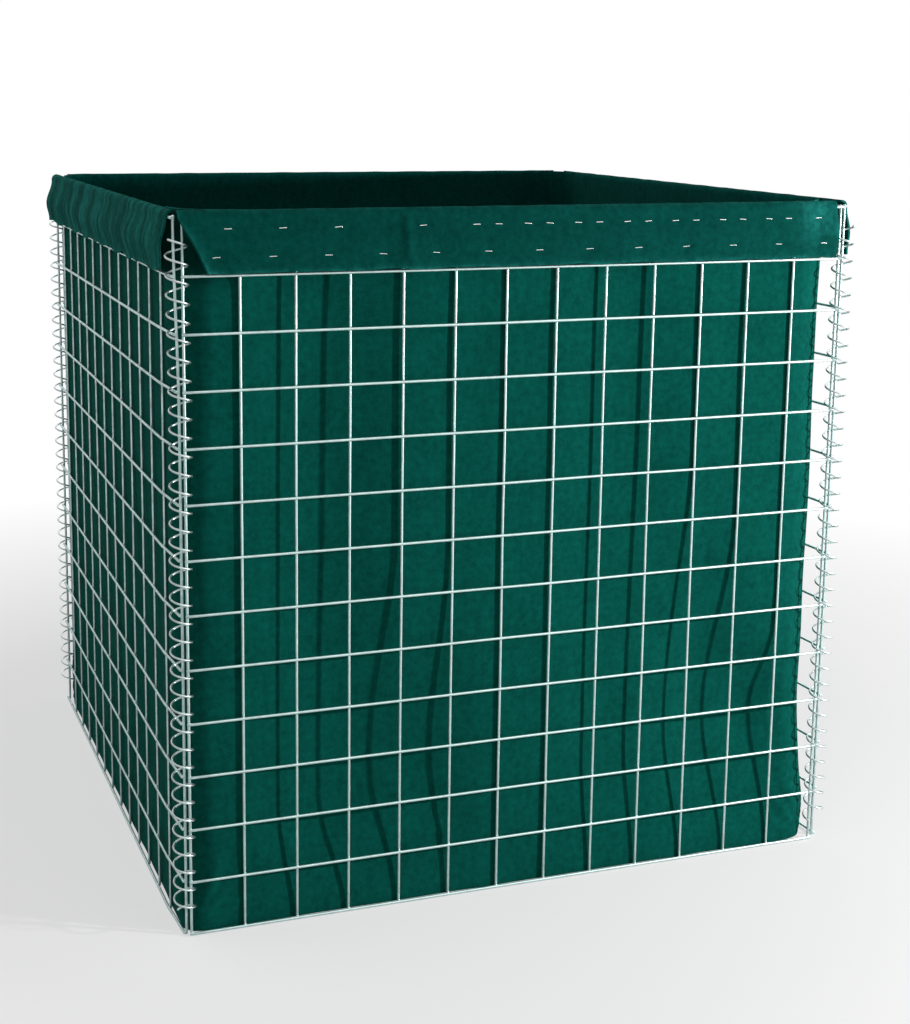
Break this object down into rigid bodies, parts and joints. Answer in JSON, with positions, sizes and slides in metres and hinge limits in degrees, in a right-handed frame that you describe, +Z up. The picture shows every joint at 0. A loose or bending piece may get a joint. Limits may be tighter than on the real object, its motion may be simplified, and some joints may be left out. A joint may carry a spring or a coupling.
{
  "type": "wire mesh compost bin",
  "caption": "Square open-topped compost bin of welded wire mesh panels laced by corner spirals, with a felt liner folded over the rim; folds flat.",
  "frame": {"origin": "on the ground, at the middle of the bin's plan", "axes": "+Z up, +X along the front panel to the right, the front panel faces -Y"},
  "size_m": [1.0442, 1.0442, 1.0027],
  "materials": {
    "galvanised_wire": "bright galvanised drawn wire",
    "spiral_wire": "bright galvanised spring wire",
    "green_felt": "matt needle-punched felt",
    "staple_steel": "bright zinc-plated staple wire"
  },
  "bodies": {
    "back": {"back_mesh_panel": "galvanised_wire", "back_liner": "green_felt", "back_left_spiral": "spiral_wire", "back_left_liner_corner": "green_felt"},
    "left": {"left_mesh_panel": "galvanised_wire", "left_liner": "green_felt", "front_left_spiral": "spiral_wire", "front_left_liner_corner": "green_felt"},
    "front": {"front_mesh_panel": "galvanised_wire", "front_liner": "green_felt", "front_right_spiral": "spiral_wire", "front_right_liner_corner": "green_felt", "staple_lower_01": "staple_steel", "staple_lower_02": "staple_steel", "staple_lower_03": "staple_steel", "staple_lower_04": "staple_steel", "staple_lower_05": "staple_steel", "staple_lower_06": "staple_steel", "staple_lower_07": "staple_steel", "staple_lower_08": "staple_steel", "staple_lower_09": "staple_steel", "staple_lower_10": "staple_steel", "staple_lower_11": "staple_steel", "staple_lower_12": "staple_steel", "staple_lower_13": "staple_steel", "staple_upper_01": "staple_steel", "staple_upper_02": "staple_steel", "staple_upper_03": "staple_steel", "staple_upper_04": "staple_steel", "staple_upper_05": "staple_steel", "staple_upper_06": "staple_steel", "staple_upper_07": "staple_steel", "staple_upper_08": "staple_steel", "staple_upper_09": "staple_steel", "staple_upper_10": "staple_steel", "staple_upper_11": "staple_steel", "staple_upper_12": "staple_steel", "staple_upper_13": "staple_steel", "staple_upper_14": "staple_steel", "staple_upper_15": "staple_steel", "staple_upper_16": "staple_steel", "staple_upper_17": "staple_steel", "staple_upper_18": "staple_steel", "staple_upper_19": "staple_steel"},
    "right": {"right_mesh_panel": "galvanised_wire", "right_liner": "green_felt", "back_right_spiral": "spiral_wire", "back_right_liner_corner": "green_felt"}
  },
  "joints": [
    {"name": "left_fold", "type": "hinge", "parent": "back", "child": "left", "pos_m": [-0.5041, 0.5041, 0.5], "axis": [0, 0, 1], "range_deg": [-80, 80], "deforming": ["back_left_liner_corner", "back_right_liner_corner"]},
    {"name": "front_fold", "type": "hinge", "parent": "left", "child": "front", "pos_m": [-0.5041, -0.5041, 0.5], "axis": [0, 0, 1], "range_deg": [-80, 80], "deforming": ["front_left_liner_corner"]},
    {"name": "right_fold", "type": "hinge", "parent": "front", "child": "right", "pos_m": [0.5041, -0.5041, 0.5], "axis": [0, 0, 1], "range_deg": [-80, 80], "deforming": ["front_right_liner_corner"]}
  ],
  "couplings": [
    {"joint": "front_fold", "follows": "left_fold", "ratio": -1},
    {"joint": "right_fold", "follows": "left_fold", "ratio": 1}
  ]
}
